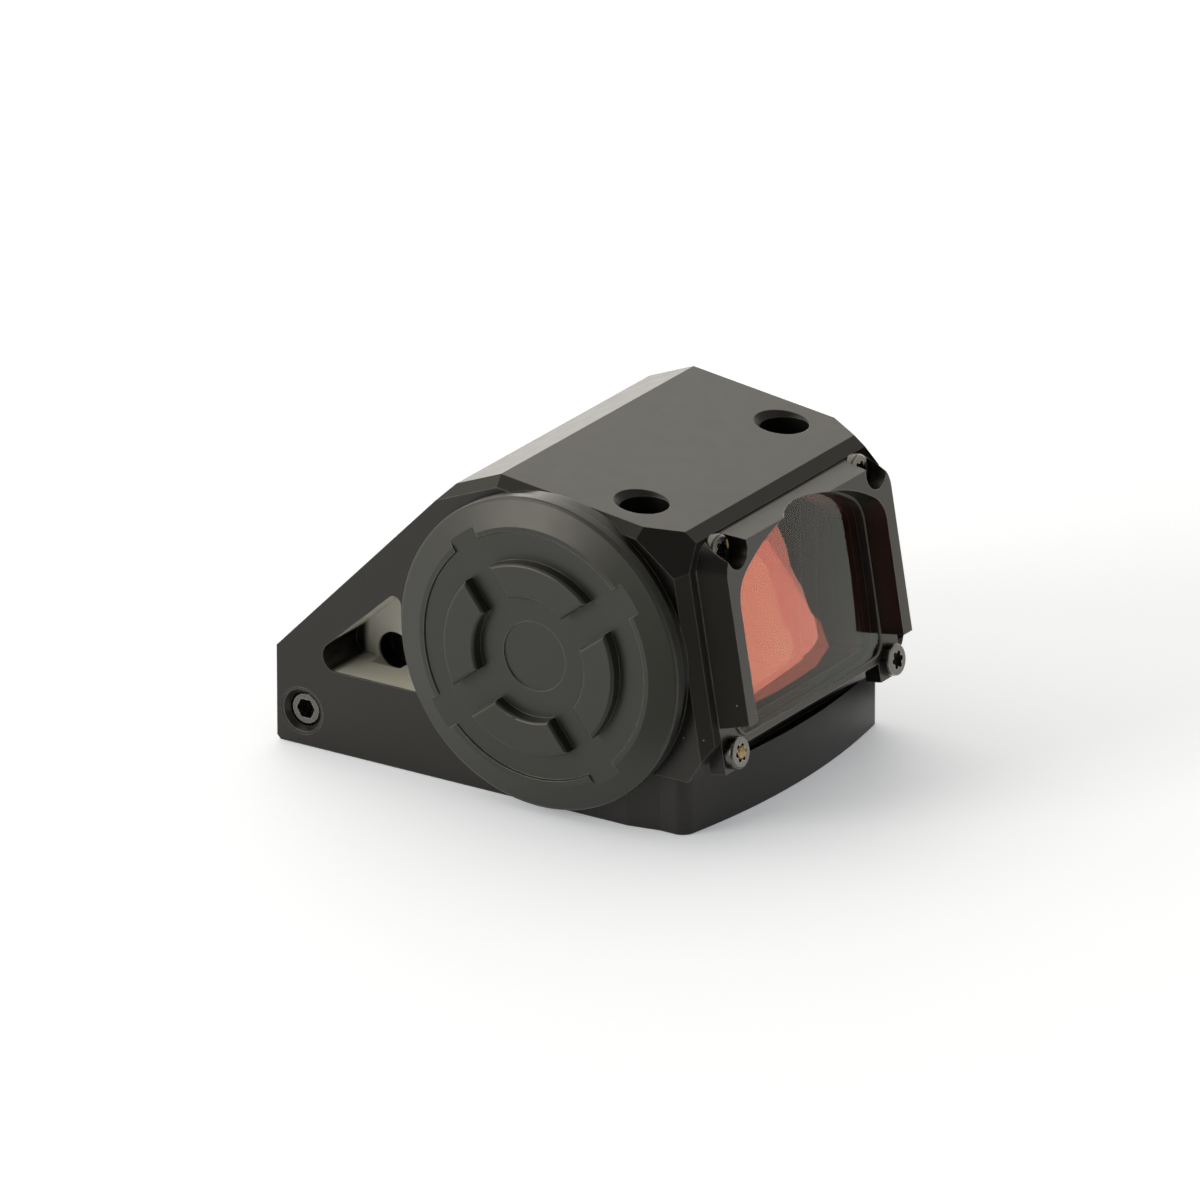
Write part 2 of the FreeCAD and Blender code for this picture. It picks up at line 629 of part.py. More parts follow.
def button(x, plus):
    x = x - 20.75
    body = cyl(2.97, -1.4, 0.2, x, 0)
    body = body.makeFillet(0.35, [e for e in body.Edges if e.BoundBox.ZMin > 0.1])
    body = join(body, cyl(3.3, -1.65, -1.05, x, 0), cyl(0.9, -1.66, -1.3, x, 0))
    body = body.cut(Part.makeBox(2.6, 0.5, 1, V(x - 1.3, -0.25, 0.05)))
    if plus:
        body = body.cut(Part.makeBox(0.5, 2.6, 1, V(x - 0.25, -1.3, 0.05)))
    return key_side(body)


def switch_board():
    board = rounded(6.95, 4.7, 2.0, -3.18, -2.58)
    return key_side(board)


def switch_bodies():
    out = []
    for x in KEY_X:
        x0 = x - 20.75
        body = box(x0 - 1.6, x0 + 1.6, -1.6, 1.6, -2.56, -2.0)
        out.append(key_side(body.cut(cyl(1.25, -2.15, -1.9, x0, 0))))
    return group(out)


def switch_domes():
    out = []
    for x in KEY_X:
        x0 = x - 20.75
        dome = Part.makeCone(1.15, 0.7, 0.13, V(x0, 0, -2.13)).cut(
            Part.makeCone(1.0, 0.6, 0.09, V(x0, 0, -2.14)))
        out.append(key_side(dome))
    return group(out)


# ---------------------------------------------------------------- export

PARTS = {
    "housing": housing,
    "bottom_cover": bottom_cover,
    "bottom_gasket": bottom_gasket,
    "bottom_screws": bottom_screws,
    "front_bezel": front_bezel,
    "bezel_screws": bezel_screws,
    "front_lens_outer": front_lens_outer,
    "front_lens_inner": front_lens_inner,
    "front_lens_seal": front_lens_seal,
    "rear_window": rear_window,
    "rear_window_seal": rear_window_seal,
    "rear_frame": rear_frame,
    "rear_frame_screws": rear_frame_screws,
    "battery": battery,
    "battery_insulator": battery_insulator,
    "battery_contact": battery_contact,
    "battery_cap": battery_cap,
    "cap_thread_ring": cap_thread_ring,
    "cap_contact_disc": cap_contact_disc,
    "cap_o_ring": cap_o_ring,
    "windage_bushing": windage_bushing,
    "windage_screw": windage_screw,
    "windage_clip": windage_clip,
    "lateral_carriage": lateral_carriage,
    "carriage_spring": carriage_spring,
    "emitter_block": emitter_block,
    "led_board": led_board,
    "led": led,
    "elevation_bushing": elevation_bushing,
    "elevation_screw": elevation_screw,
    "elevation_clip": elevation_clip,
    "elevation_nut": elevation_nut,
    "main_board": main_board,
    "board_screws": board_screws,
    "inner_floor": inner_floor,
    "keypad_cover": keypad_cover,
    "keypad_gasket": keypad_gasket,
    "keypad_screws": keypad_screws,
    "button_up": lambda: button(KEY_X[1], True),
    "button_down": lambda: button(KEY_X[0], False),
    "switch_board": switch_board,
    "switch_bodies": switch_bodies,
    "switch_domes": switch_domes,
}

os.makedirs("parts", exist_ok=True)
for name, make in PARTS.items():
    shape = make()
    shape.translate(V(-HOLE_X, 0, 0))
    shape.exportStep("parts/" + name + ".step")
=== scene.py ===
import math
import random

import bmesh
import bpy
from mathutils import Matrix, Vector


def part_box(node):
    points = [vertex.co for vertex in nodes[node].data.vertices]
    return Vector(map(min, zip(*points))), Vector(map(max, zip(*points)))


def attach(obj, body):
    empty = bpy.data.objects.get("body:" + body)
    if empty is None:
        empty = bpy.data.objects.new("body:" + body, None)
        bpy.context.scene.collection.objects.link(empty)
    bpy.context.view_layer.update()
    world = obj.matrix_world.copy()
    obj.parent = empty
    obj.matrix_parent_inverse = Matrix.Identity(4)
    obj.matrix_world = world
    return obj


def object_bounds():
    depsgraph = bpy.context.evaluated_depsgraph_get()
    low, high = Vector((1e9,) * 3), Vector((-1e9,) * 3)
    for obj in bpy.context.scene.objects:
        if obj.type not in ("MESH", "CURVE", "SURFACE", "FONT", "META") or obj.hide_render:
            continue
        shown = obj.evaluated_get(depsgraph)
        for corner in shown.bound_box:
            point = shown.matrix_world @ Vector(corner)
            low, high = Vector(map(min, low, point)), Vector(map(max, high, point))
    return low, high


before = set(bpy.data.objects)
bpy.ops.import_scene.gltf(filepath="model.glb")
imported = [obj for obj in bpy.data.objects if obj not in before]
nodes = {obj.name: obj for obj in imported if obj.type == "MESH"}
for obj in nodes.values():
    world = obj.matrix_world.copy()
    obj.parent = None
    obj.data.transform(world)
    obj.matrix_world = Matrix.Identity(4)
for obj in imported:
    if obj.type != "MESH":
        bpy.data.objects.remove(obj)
cad_box = [list(corner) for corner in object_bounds()]
rng = random.Random(7)

# The frame has +X towards the front lens, +Z up and -Y towards the battery cap. Lengths are in metres.
MM = 0.001
REAR_END = cad_box[0][0]
UNDERSIDE = cad_box[0][2]

# The front window leans back by about this angle, in radians. LEAN points straight out of it.
WINDOW_LEAN = 0.172
LEAN = Vector((math.cos(WINDOW_LEAN), 0.0, math.sin(WINDOW_LEAN)))
UP_THE_WINDOW = Vector((-LEAN.z, 0.0, LEAN.x))

# Painted light in the side pocket: its floor and back wall are painted paler, as if lit. Each pair is a soft
# edge in mm: where it is off, and where it is full.
POCKET_REAR = (-27.8, -27.0)
POCKET_FRONT = (-18.8, -19.2)
POCKET_MOUTH = (-15.35, -15.15)
POCKET_BACK = (-10.0, -10.3)
POCKET_FLOOR = (5.0, 5.5)
# The last edge is a height above a line that rises from the rear end beside the rear slope.
UNDER_SLOPE = (5.3, 4.9)
SLOPE_RISE = 1.025

# Edge colour: partly real wear, partly a painted highlight that stands for light caught by the edges.
WEAR_AND_HIGHLIGHT_METAL = (0.28, 0.27, 0.25)
# Painted light: the colour of the side pocket's floor and back wall, paler as if lit.
POCKET_PAINTED_LIGHT = (0.55, 0.54, 0.48)
DUST = (0.55, 0.54, 0.5)
GLASS_DUST = (0.6, 0.6, 0.58)
EDGE_INK = (0.012, 0.012, 0.011)

# How far wear and a painted highlight cover an edge, how much the wear smooths it, and how dark steel gets
# between its bright grain.
WEAR_AND_HIGHLIGHT = 0.8
WEAR_POLISH = 0.12
STEEL_WEAR_AND_HIGHLIGHT = 0.6
STEEL_SHADE = 0.75


# ---------------------------------------------------------------- material helpers

def graph(name):
    """A material with one Principled shader on its surface."""
    mat = bpy.data.materials.new(name)
    mat.use_nodes = True
    tree = mat.node_tree
    tree.nodes.clear()
    out = tree.nodes.new("ShaderNodeOutputMaterial")
    shader = tree.nodes.new("ShaderNodeBsdfPrincipled")
    tree.links.new(shader.outputs[0], out.inputs[0])
    return mat, tree, shader


def feed(tree, socket, value):
    """Give a socket a link, a colour of three values, or a plain value."""
    if isinstance(value, bpy.types.NodeSocket):
        tree.links.new(value, socket)
    elif isinstance(value, tuple):
        socket.default_value = (*value, 1.0)
    else:
        socket.default_value = value


def place(tree):
    """Coordinates on the object itself."""
    return tree.nodes.new("ShaderNodeTexCoord").outputs["Object"]


def noise(tree, size_mm, detail=2.0, rough=0.5):
    """Noise with features of this size."""
    node = tree.nodes.new("ShaderNodeTexNoise")
    node.inputs["Scale"].default_value = 1.0 / (size_mm * MM)
    node.inputs["Detail"].default_value = detail
    node.inputs["Roughness"].default_value = rough
    tree.links.new(place(tree), node.inputs["Vector"])
    return node.outputs["Fac"]


def ramp(tree, source, low, high, out_low=0.0, out_high=1.0):
    """A smooth step from out_low to out_high, while the source goes from low to high."""
    node = tree.nodes.new("ShaderNodeMapRange")
    node.interpolation_type = "SMOOTHSTEP"
    limits = {"From Min": low, "From Max": high, "To Min": out_low, "To Max": out_high}
    for socket, value in limits.items():
        node.inputs[socket].default_value = value
    tree.links.new(source, node.inputs["Value"])
    return node.outputs["Result"]


def maths(tree, operation, *values):
    node = tree.nodes.new("ShaderNodeMath")
    node.operation = operation
    for socket, value in zip(node.inputs, values):
        feed(tree, socket, value)
    return node.outputs[0]


def product(tree, first, *others):
    """All the factors multiplied."""
    result = first
    for other in others:
        result = maths(tree, "MULTIPLY", result, other)
    return result


def dot_product(tree, first, second):
    node = tree.nodes.new("ShaderNodeVectorMath")
    node.operation = "DOT_PRODUCT"
    feed(tree, node.inputs[0], first)
    feed(tree, node.inputs[1], second)
    return node.outputs["Value"]


def mix(tree, factor, first, second):
    """The first colour where the factor is 0, the second where it is 1."""
    node = tree.nodes.new("ShaderNodeMix")
    node.data_type = "RGBA"
    wanted = {("Factor", "VALUE"): factor, ("A", "RGBA"): first, ("B", "RGBA"): second}
    for socket in node.inputs:
        kind = (socket.name, socket.type)
        if kind in wanted:
            feed(tree, socket, wanted[kind])
    return next(socket for socket in node.outputs if socket.type == "RGBA")


def rounded_normal(tree, radius_mm):
    """Normals as if every edge had this radius."""
    bevel = tree.nodes.new("ShaderNodeBevel")
    bevel.samples = 4
    bevel.inputs["Radius"].default_value = radius_mm * MM
    return bevel.outputs[0]


def edges(tree, radius_mm):
    """1 on sharp edges, 0 on flat faces."""
    flat = tree.nodes.new("ShaderNodeNewGeometry").outputs["Normal"]
    return ramp(tree, dot_product(tree, rounded_normal(tree, radius_mm), flat), 0.995, 0.85)


def specks(tree, cell_mm, size, share):
    """Sparse small dots: dust and lint. A dot's size is a part of its cell, and a share of cells has one."""
    cells = tree.nodes.new("ShaderNodeTexVoronoi")
    cells.inputs["Scale"].default_value = 1.0 / (cell_mm * MM)
    tree.links.new(place(tree), cells.inputs["Vector"])
    near = ramp(tree, cells.outputs["Distance"], size, size * 0.6)
    split = tree.nodes.new("ShaderNodeSeparateColor")
    tree.links.new(cells.outputs["Color"], split.inputs[0])
    chosen = maths(tree, "LESS_THAN", split.outputs[0], share)
    return product(tree, near, chosen)


def bump(tree, shader, height, depth_mm, round_mm=0.0):
    """Fine relief, over edges that are softened by a small radius."""
    node = tree.nodes.new("ShaderNodeBump")
    node.inputs["Distance"].default_value = depth_mm * MM
    tree.links.new(height, node.inputs["Height"])
    if round_mm:
        tree.links.new(rounded_normal(tree, round_mm), node.inputs["Normal"])
    tree.links.new(node.outputs[0], shader.inputs["Normal"])


def uneven(tree, size_mm, detail, low, high):
    """A value that wanders between low and high, for roughness."""
    return ramp(tree, noise(tree, size_mm, detail), 0.3, 0.7, low, high)


def pocket_painted_light_mask(tree):
    """1 on the floor and back wall of the side pocket, where painted light makes the metal paler as if lit,
    0 elsewhere.
    """
    split = tree.nodes.new("ShaderNodeSeparateXYZ")
    tree.links.new(place(tree), split.inputs[0])
    x, y, z = split.outputs
    run = maths(tree, "SUBTRACT", x, REAR_END)
    above_line = maths(tree, "SUBTRACT", z, maths(tree, "MULTIPLY", run, SLOPE_RISE))
    soft_edges = [(x, POCKET_REAR), (y, POCKET_MOUTH), (above_line, UNDER_SLOPE), (y, POCKET_BACK),
                  (z, POCKET_FLOOR), (x, POCKET_FRONT)]
    masks = [ramp(tree, source, off * MM, full * MM) for source, (off, full) in soft_edges]
    return product(tree, *masks)


def anodised(name, dark, light, rough, grain=0.10, depth=0.0018, dust=0.5, pocket=False):
    """Hard-anodised metal: blasted grain, faint cloudy sheen, bright edges that are partly wear and partly
    painted highlight, a little dust, and painted light in the side pocket when asked.
    """
    mat, tree, shader = graph(name)
    shader.inputs["Specular IOR Level"].default_value = 0.43
    shader.inputs["Specular Tint"].default_value = (1.0, 0.965, 0.90, 1.0)
    colour = mix(tree, noise(tree, size_mm=6.0, detail=3.0), dark, light)
    # Lighter edges: partly wear, partly a painted highlight.
    wear_and_highlight = product(tree, edges(tree, radius_mm=0.12), noise(tree, size_mm=1.3, detail=3.0), WEAR_AND_HIGHLIGHT)
    colour = mix(tree, wear_and_highlight, colour, WEAR_AND_HIGHLIGHT_METAL)
    # Painted light: the side pocket's floor and back wall are painted paler, as if lit.
    if pocket:
        colour = mix(tree, pocket_painted_light_mask(tree), colour, POCKET_PAINTED_LIGHT)
    if dust:
        dots = specks(tree, cell_mm=1.7, size=0.045, share=0.10)
        colour = mix(tree, maths(tree, "MULTIPLY", dots, dust), colour, DUST)
    tree.links.new(colour, shader.inputs["Base Color"])
    sheen = uneven(tree, 1.6, 4.0, rough - 0.015, rough + 0.015)
    polish = maths(tree, "MULTIPLY", wear_and_highlight, WEAR_POLISH)
    tree.links.new(maths(tree, "SUBTRACT", sheen, polish), shader.inputs["Roughness"])
    bump(tree, shader, noise(tree, grain, 2.0, 0.6), depth, round_mm=0.07)
    return mat


def steel(name, colour, rough, tint=(0.9, 0.9, 0.88)):
    """Brushed or plated metal, brighter at its edges from wear and a painted highlight."""
    mat, tree, shader = graph(name)
    shader.inputs["Metallic"].default_value = 1.0
    shade = tuple(part * STEEL_SHADE for part in colour)
    tone = mix(tree, noise(tree, size_mm=0.25, detail=3.0), shade, colour)
    # Edges tinted brighter: partly wear, partly a painted highlight.
    wear_and_highlight = maths(tree, "MULTIPLY", edges(tree, radius_mm=0.06), STEEL_WEAR_AND_HIGHLIGHT)
    tree.links.new(mix(tree, wear_and_highlight, tone, tint), shader.inputs["Base Color"])
    tree.links.new(uneven(tree, 0.4, 3.0, rough - 0.06, rough + 0.08), shader.inputs["Roughness"])
    bump(tree, shader, noise(tree, 0.09, 2.0), 0.002)
    return mat


def moulded(name, dark, light, rough, grain=0.2, depth=0.006, spec=0.4):
    """Moulded plastic or rubber with a fine skin."""
    mat, tree, shader = graph(name)
    shader.inputs["Specular IOR Level"].default_value = spec
    tree.links.new(mix(tree, noise(tree, 2.0, 3.0), dark, light), shader.inputs["Base Color"])
    tree.links.new(uneven(tree, 0.7, 3.0, rough - 0.07, rough + 0.07), shader.inputs["Roughness"])
    bump(tree, shader, noise(tree, grain, 2.0), depth)
    return mat


def board_finish(name):
    """Solder mask with a hint of raised tracks."""
    mat, tree, shader = graph(name)
    tracks = tree.nodes.new("ShaderNodeTexBrick")
    tracks.inputs["Scale"].default_value = 1.0 / (2.4 * MM)
    tracks.inputs["Color1"].default_value = (0.010, 0.060, 0.030, 1.0)
    tracks.inputs["Color2"].default_value = (0.012, 0.075, 0.036, 1.0)
    tracks.inputs["Mortar"].default_value = (0.06, 0.16, 0.07, 1.0)
    tracks.inputs["Mortar Size"].default_value = 0.03
    tree.links.new(place(tree), tracks.inputs["Vector"])
    tree.links.new(tracks.outputs["Color"], shader.inputs["Base Color"])
    tree.links.new(uneven(tree, 0.5, 2.0, 0.28, 0.45), shader.inputs["Roughness"])
    bump(tree, shader, tracks.outputs["Fac"], 0.02)
    return mat


def lean_dot(tree):
    """1 on faces that lean like the front window, 0 on the edge of the glass, -1 on its back."""
    face = tree.nodes.new("ShaderNodeNewGeometry").outputs["True Normal"]
    return dot_product(tree, face, LEAN)


def blend(tree, factor, first, second):
    """Mix two shaders and send the result to the surface."""
    both = tree.nodes.new("ShaderNodeMixShader")
    for socket, value in zip(both.inputs, (factor, first, second)):
        tree.links.new(value, socket)
    surface = next(node for node in tree.nodes if node.type == "OUTPUT_MATERIAL")
    tree.links.new(both.outputs[0], surface.inputs[0])
    return both.outputs[0]


def glass(name, tint, ior, smear=0.0, mirror=None, black_edge=False):
    """Coated optical glass. mirror is the share and the colour that a coating on its front reflects."""
    mat, tree, shader = graph(name)
    shader.inputs["Transmission Weight"].default_value = 1.0
    shader.inputs["IOR"].default_value = ior
    shader.inputs["Roughness"].default_value = 0.0
    dots = specks(tree, cell_mm=1.2, size=0.03, share=0.12)
    tree.links.new(mix(tree, dots, tint, GLASS_DUST), shader.inputs["Base Color"])
    if smear:
        smears = ramp(tree, noise(tree, 3.0, 4.0), 0.45, 0.8, 0.0, smear)
        tree.links.new(smears, shader.inputs["Roughness"])
    seen = shader.outputs[0]
    if mirror:
        share, colour = mirror
        coat = tree.nodes.new("ShaderNodeBsdfGlossy")
        coat.inputs["Color"].default_value = (*colour, 1.0)
        coat.inputs["Roughness"].default_value = 0.0
        on_front = ramp(tree, lean_dot(tree), 0.85, 0.95, 0.0, share)
        seen = blend(tree, on_front, seen, coat.outputs[0])
    if black_edge:
        ink = tree.nodes.new("ShaderNodeBsdfPrincipled")
        ink.inputs["Base Color"].default_value = (*EDGE_INK, 1.0)
        ink.inputs["Roughness"].default_value = 0.6
        on_edge = ramp(tree, maths(tree, "ABSOLUTE", lean_dot(tree)), 0.80, 0.70)
        blend(tree, on_edge, seen, ink.outputs[0])
    return mat


# ---------------------------------------------------------------- materials by node

BODY = anodised("body_black", (0.0035, 0.0032, 0.0030), (0.0065, 0.0060, 0.0055), 0.36, pocket=True)
CAP = anodised("cap_black", (0.0165, 0.0178, 0.0155), (0.0205, 0.0222, 0.0195), 0.36, depth=0.0022)
BEZEL = anodised("bezel_black", (0.0035, 0.0033, 0.0032), (0.007, 0.0066, 0.0062), 0.33)
TRIM = anodised("trim_black", (0.006, 0.006, 0.006), (0.012, 0.012, 0.011), 0.30, dust=0.2)
SCREW = steel("screw_black", (0.14, 0.138, 0.128), 0.27, tint=(0.8, 0.78, 0.72))
BRIGHT = steel("spring_bright", (0.62, 0.62, 0.60), 0.22)
BRASS = steel("brass_plated", (0.78, 0.58, 0.26), 0.28, tint=(0.95, 0.80, 0.45))
CELL = steel("cell_nickel", (0.70, 0.70, 0.68), 0.26)
INNER = anodised("inner_black", (0.012, 0.012, 0.012), (0.020, 0.020, 0.019), 0.5, dust=0)
RESIN = moulded("thread_resin", (0.30, 0.17, 0.045), (0.75, 0.55, 0.22), 0.22,
                grain=0.1, depth=0.02, spec=0.8)
SEAL = moulded("seal_dark", (0.008, 0.008, 0.007), (0.016, 0.015, 0.013), 0.6)
LENS_SEAL = moulded("seal_bond", (0.10, 0.10, 0.085), (0.22, 0.21, 0.17), 0.45)
BUTTON = moulded("button_rubber", (0.012, 0.012, 0.012), (0.020, 0.020, 0.020), 0.62)
PLASTIC = moulded("inner_plastic", (0.012, 0.012, 0.012), (0.022, 0.022, 0.021), 0.5)
BOARD = board_finish("board_green")
# The low index stands for an antireflection coating: each face mirrors 1 to 2 percent.
GLASS_FRONT = glass("lens_clear", (0.97, 1.0, 0.985), 1.2, black_edge=True)
GLASS_COAT = glass("lens_coated", (0.88, 0.97, 0.93), 1.2, mirror=(0.2, (1.0, 0.13, 0.07)), black_edge=True)
GLASS_REAR = glass("window_clear", (0.97, 1.0, 0.99), 1.3, smear=0.03)
LED = moulded("led_red", (0.5, 0.03, 0.02), (0.7, 0.05, 0.03), 0.15)

FINISH = {
    BODY: ["housing", "bottom_cover", "keypad_cover", "rear_frame"],
    CAP: ["battery_cap", "cap_thread_ring"],
    BEZEL: ["front_bezel"],
    TRIM: ["windage_bushing", "elevation_bushing"],
    SCREW: ["bezel_screws", "rear_frame_screws", "bottom_screws", "keypad_screws", "board_screws",
            "windage_screw", "elevation_screw"],
    BRIGHT: ["windage_clip", "elevation_clip", "carriage_spring", "switch_domes"],
    BRASS: ["battery_contact", "cap_contact_disc", "lateral_carriage", "elevation_nut"],
    CELL: ["battery"],
    INNER: ["emitter_block"],
    SEAL: ["bottom_gasket", "rear_window_seal", "cap_o_ring", "keypad_gasket"],
    LENS_SEAL: ["front_lens_seal"],
    BUTTON: ["button_up", "button_down"],
    PLASTIC: ["battery_insulator", "inner_floor", "switch_bodies"],
    BOARD: ["led_board", "main_board", "switch_board"],
    GLASS_FRONT: ["front_lens_outer"],
    GLASS_COAT: ["front_lens_inner"],
    GLASS_REAR: ["rear_window"],
    LED: ["led"],
}
for material, names in FINISH.items():
    for name in names:
        data = nodes[name].data
        data.materials.clear()
        data.materials.append(material)


# ---------------------------------------------------------------- dried thread resin on two bezel screws

RESIN_HEIGHT_MM = 0.12
RESIN_SUNK_MM = 0.05
RESIN_LUMPS = 0.25
FACE_DEPTH = 0.02 * MM


def screw_face(screw_side, low):
    """Middle of the head of one bezel screw, picked by its side of the object and by its height."""
    corners = [v.co for v in nodes["bezel_screws"].data.vertices]
    middle = sum(v.z for v in corners) / len(corners)
    head = [v for v in corners if v.y * screw_side > 0 and (v.z < middle) == low]
    front = max(v.dot(LEAN) for v in head)
    face = [v for v in head if v.dot(LEAN) > front - FACE_DEPTH]
    return sum(face, Vector()) / len(face)


def resin_dab(name, screw_side, low, wide_mm, tall_mm, offset_mm):
    """Small flattened blob on the head of one front screw."""
    spot = screw_face(screw_side, low)
    mesh = bmesh.new()
    bmesh.ops.create_icosphere(mesh, subdivisions=3, radius=1.0)
    for v in mesh.verts:
        lump = 1.0 + RESIN_LUMPS * rng.uniform(-1, 1)
        side = v.co.x * wide_mm * lump + offset_mm[0]
        high = v.co.y * tall_mm * lump + offset_mm[1]
        deep = v.co.z * RESIN_HEIGHT_MM - RESIN_SUNK_MM
        v.co = spot + (Vector((0, side, 0)) + UP_THE_WINDOW * high + LEAN * deep) * MM
    data = bpy.data.meshes.new(name)
    mesh.to_mesh(data)
    mesh.free()
    data.shade_smooth()
    data.materials.append(RESIN)
    piece = bpy.data.objects.new(name, data)
    bpy.context.scene.collection.objects.link(piece)
    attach(piece, "body")


resin_dab("thread_resin_low", -1, True, 0.62, 0.50, (0.10, 0.0))
resin_dab("thread_resin_high", -1, False, 0.14, 0.42, (0.95, 0.25))


# ---------------------------------------------------------------- floor and floor card

def stage_mesh(name, points, faces, material):
    data = bpy.data.meshes.new(name)
    data.from_pydata(points, [], faces)
    data.materials.append(material)
    item = bpy.data.objects.new(name, data)
    bpy.context.scene.collection.objects.link(item)
    return item


def floor_finish():
    """White paper, which glows a little so that it stays white behind the object."""
    mat, tree, shader = graph("floor_paper")
    paper = mix(tree, noise(tree, 30, 3.0), (0.90, 0.925, 0.985), (0.92, 0.945, 0.995))
    tree.links.new(paper, shader.inputs["Base Color"])
    shader.inputs["Roughness"].default_value = 0.9
    shader.inputs["Specular IOR Level"].default_value = 0.1
    shader.inputs["Emission Color"].default_value = (0.95, 0.97, 1.0, 1.0)
    shader.inputs["Emission Strength"].default_value = 0.26
    return mat


def plain(name, colour, glow=0.0, tone=(1.0, 0.97, 0.92)):
    """One flat colour, with an even glow."""
    mat = bpy.data.materials.new(name)
    mat.use_nodes = True
    shader = mat.node_tree.nodes["Principled BSDF"]
    shader.inputs["Base Color"].default_value = (*colour, 1.0)
    shader.inputs["Specular IOR Level"].default_value = 0.0
    shader.inputs["Emission Color"].default_value = (*tone, 1.0)
    shader.inputs["Emission Strength"].default_value = glow
    return mat


def only_mirrored(item, glossy=True, transmission=False):
    """A studio card: never seen by the camera and without a shadow, only in mirroring or through glass."""
    item.visible_camera = False
    item.visible_diffuse = False
    item.visible_shadow = False
    item.visible_volume_scatter = False
    item.visible_glossy = glossy
    item.visible_transmission = transmission


FLOOR_REACH = 6.0
FLOOR_LEVEL = UNDERSIDE - 0.05 * MM
SQUARE = [(-1, -1), (1, -1), (1, 1), (-1, 1)]
stage_mesh("floor", [(x * FLOOR_REACH, y * FLOOR_REACH, FLOOR_LEVEL) for x, y in SQUARE], [(0, 1, 2, 3)],
           floor_finish())

# A grey card on the floor in front of the object, for the darker side that its walls mirror.
CARD_LEVEL = 0.1 * MM
CARD_OUTLINE = [(0.0, -0.028), (-0.03, -0.5), (0.6, -0.5), (0.6, -0.12), (0.07, -0.03)]
card_points = [(x, y, CARD_LEVEL) for x, y in CARD_OUTLINE]
card = stage_mesh("black_card", card_points, [tuple(range(len(card_points)))],
                  plain("card_black", (0.42, 0.41, 0.385)))
only_mirrored(card)


# ---------------------------------------------------------------- cards that only the front lens mirrors

lens_low, lens_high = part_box("front_lens_outer")
lens_mid = (lens_low + lens_high) / 2
facing = Vector((0.61, 0.79, 0.0)).normalized()
across = Vector((-facing.y, facing.x, 0.0))
CARD_DISTANCE_MM = 16.0
SURROUND_DISTANCE_MM = 16.3


def shown_only_to(name, *receivers):
    """A collection of the nodes that a light or card may reach."""
    group = bpy.data.collections.new(name)
    for receiver in receivers:
        group.objects.link(nodes[receiver])
    return group


def lens_card(name, outline_mm, distance_mm, glow, tone, **seen):
    """An upright card in front of the lens. Its outline is a list of places across and heights, in mm."""
    foot = lens_mid + facing * distance_mm * MM
    points = []
    for side, height in outline_mm:
        point = foot + across * side * MM
        points.append((point.x, point.y, height * MM))
    finish = plain(name + "_glow", (0, 0, 0), glow, tone)
    item = stage_mesh(name, points, [tuple(range(len(points)))], finish)
    only_mirrored(item, **seen)
    item.light_linking.receiver_collection = lens_only


# The coating lies behind the front glass, so it mirrors what is seen through glass. The front face mirrors
# the other cards.
IN_COATING = {"glossy": False, "transmission": True}
IN_FRONT_FACE = {"glossy": True, "transmission": False}
COATING_OUTLINE = [(-0.3, 22), (0.7, 17), (1.3, 14), (1.75, 11.4), (2.2, 10.6), (2.3, 8.4), (0.9, 7.2),
                   (-2, 6.2), (-12, 3.3), (-12, 22)]
FRONT_OUTLINE = [(-4.6, 20), (-3.4, 17.5), (-3.2, 11.6), (-2.5, 10.8), (-2.5, 9.2), (-3.5, 7.8),
                 (-14, 5.4), (-14, 20)]
SURROUND = [(-13, 0.1), (13, 0.1), (13, 25), (-13, 25)]

lens_only = shown_only_to("lens_only", "front_lens_outer", "front_lens_inner")
lens_card("card_for_coating", COATING_OUTLINE, CARD_DISTANCE_MM, 1.4, (1.0, 0.95, 0.85), **IN_COATING)
lens_card("card_for_glass", FRONT_OUTLINE, CARD_DISTANCE_MM, 4.6, (1.0, 0.97, 0.70), **IN_FRONT_FACE)
lens_card("dark_for_coating", SURROUND, SURROUND_DISTANCE_MM, 0.03, (1.0, 1.0, 1.0), **IN_COATING)
lens_card("grey_for_glass", SURROUND, SURROUND_DISTANCE_MM, 2.4, (0.92, 1.0, 0.92), **IN_FRONT_FACE)


# ---------------------------------------------------------------- lights and room

def soft_light(name, direction, distance, size, radiance, aim):
    """Square softbox at a direction and distance from its aim, with a stated surface brightness."""
    data = bpy.data.lights.new(name, "AREA")
    data.shape = "SQUARE"
    data.size = size
    data.energy = radiance * math.pi * size * size
    data.color = (1.0, 0.97, 0.90)
    lamp = bpy.data.objects.new(name, data)
    towards = Vector(direction).normalized()
    lamp.location = aim + towards * distance
    lamp.rotation_euler = towards.to_track_quat("Z", "Y").to_euler()
    bpy.context.scene.collection.objects.link(lamp)
    return lamp


centre = Vector((-11.0, 0.0, 14.0)) * MM
soft_light("softbox_left", (-0.505, -0.83, 0.29), 0.7, 0.32, 7.0, centre)
soft_light("softbox_back", (-0.62, 0.78, 0.13), 0.8, 0.34, 2.2, centre)

# A panel close to the front lights the bezel's face. The lens cards would hide it if it stood behind them.
fill = soft_light("bezel_fill", (0.60, 0.78, -0.18), 0.0145, 0.04, 1.2, lens_mid)
fill.visible_camera = False
fill.light_linking.receiver_collection = shown_only_to("bezel_only", "front_bezel", "bezel_screws")

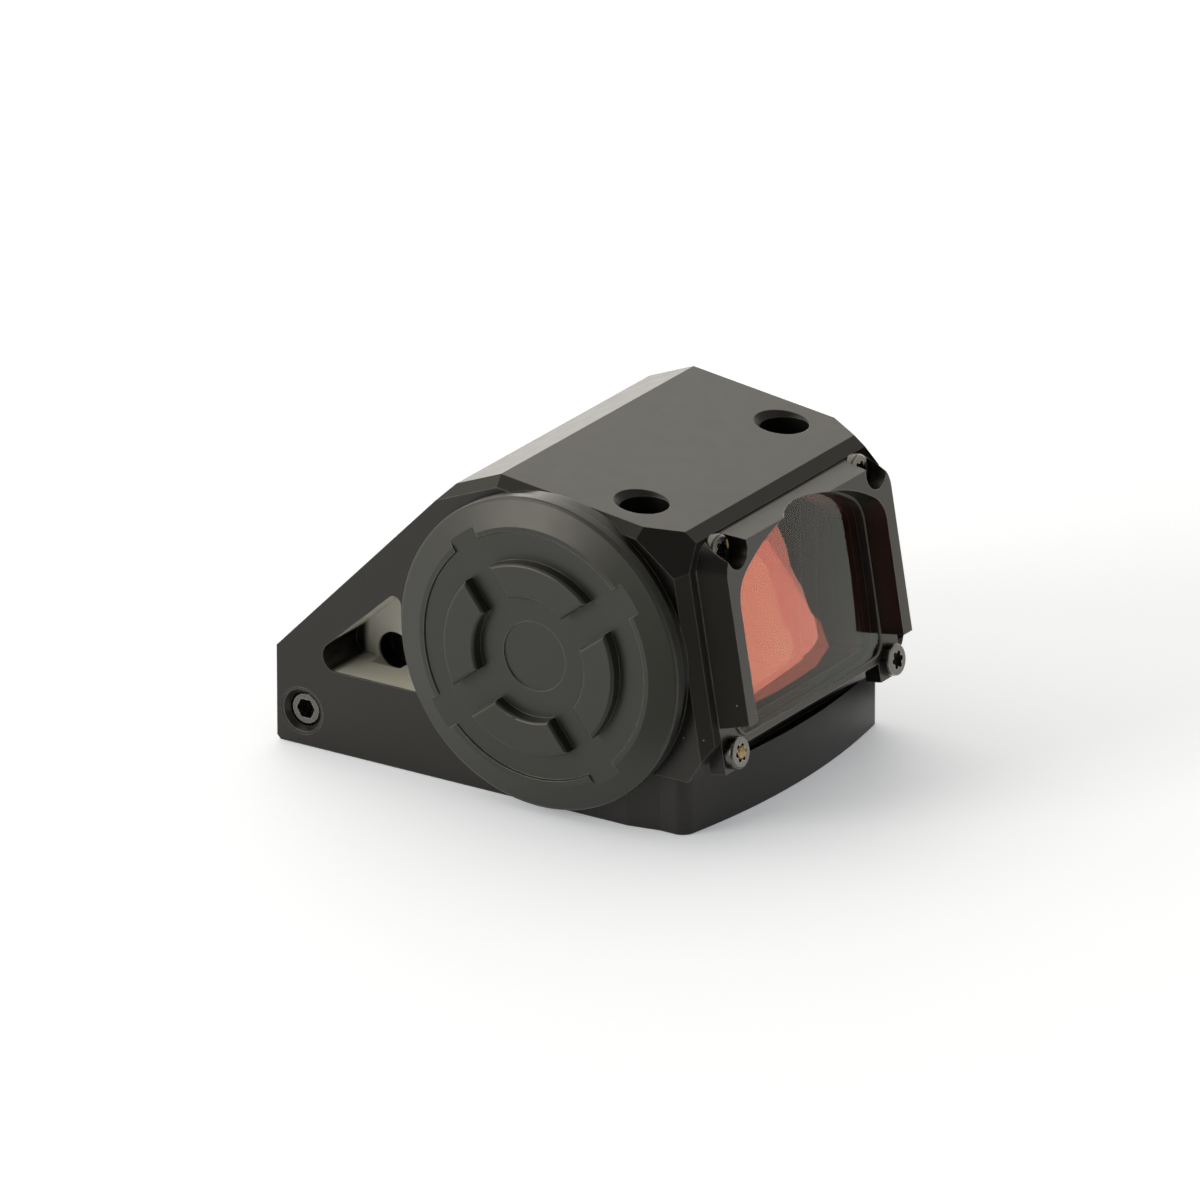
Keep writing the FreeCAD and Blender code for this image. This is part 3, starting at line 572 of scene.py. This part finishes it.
ROOM_WHITE = (1.0, 0.965, 0.88)
ROOM_DARK = (0.06, 0.06, 0.057)
ROOM_DIM = (0.30, 0.29, 0.27)
ROOM_BRIGHTNESS = 1.4


def studio_world():
    """White room with a dark side behind the photographer and a dimmer corner on the right."""
    world = bpy.data.worlds.new("studio")
    bpy.context.scene.world = world
    world.use_nodes = True
    tree = world.node_tree
    tree.nodes.clear()
    view = tree.nodes.new("ShaderNodeTexCoord").outputs["Generated"]

    def towards(direction, start, full):
        """0 away from a direction, 1 towards it."""
        return ramp(tree, dot_product(tree, view, Vector(direction).normalized()), start, full)

    sky = mix(tree, towards((0.505, -0.779, 0.45), 0.20, 0.80), ROOM_WHITE, ROOM_DARK)
    sky = mix(tree, towards((0.75, 0.50, 0.43), 0.35, 0.85), sky, ROOM_DIM)
    back = tree.nodes.new("ShaderNodeBackground")
    back.inputs["Strength"].default_value = ROOM_BRIGHTNESS
    tree.links.new(sky, back.inputs["Color"])
    out = tree.nodes.new("ShaderNodeOutputWorld")
    tree.links.new(back.outputs[0], out.inputs[0])


studio_world()


# ---------------------------------------------------------------- camera

# The camera looks from above at a point near the middle of the object, between the cap's side and the front.
AZIMUTH = math.radians(32.975)
ELEVATION = math.radians(21.843)
DISTANCE = 1.4
TARGET = Vector((-11.05, -0.4, 14.0)) * MM
SENSOR_WIDTH_MM = 36.0
FOCAL_LENGTH_MM = 509.3
SHIFT = (0.0008, -0.0182)

scene = bpy.context.scene
scene.view_settings.view_transform = "Standard"
camera_data = bpy.data.cameras.new("camera")
camera = bpy.data.objects.new("camera", camera_data)
scene.collection.objects.link(camera)
away = Vector((math.sin(AZIMUTH) * math.cos(ELEVATION), -math.cos(AZIMUTH) * math.cos(ELEVATION),
               math.sin(ELEVATION)))
camera.location = TARGET + away * DISTANCE
camera.rotation_euler = away.to_track_quat("Z", "Y").to_euler()
camera_data.sensor_width = SENSOR_WIDTH_MM
camera_data.lens = FOCAL_LENGTH_MM
camera_data.shift_x, camera_data.shift_y = SHIFT
camera_data.clip_start = 0.01
scene.camera = camera
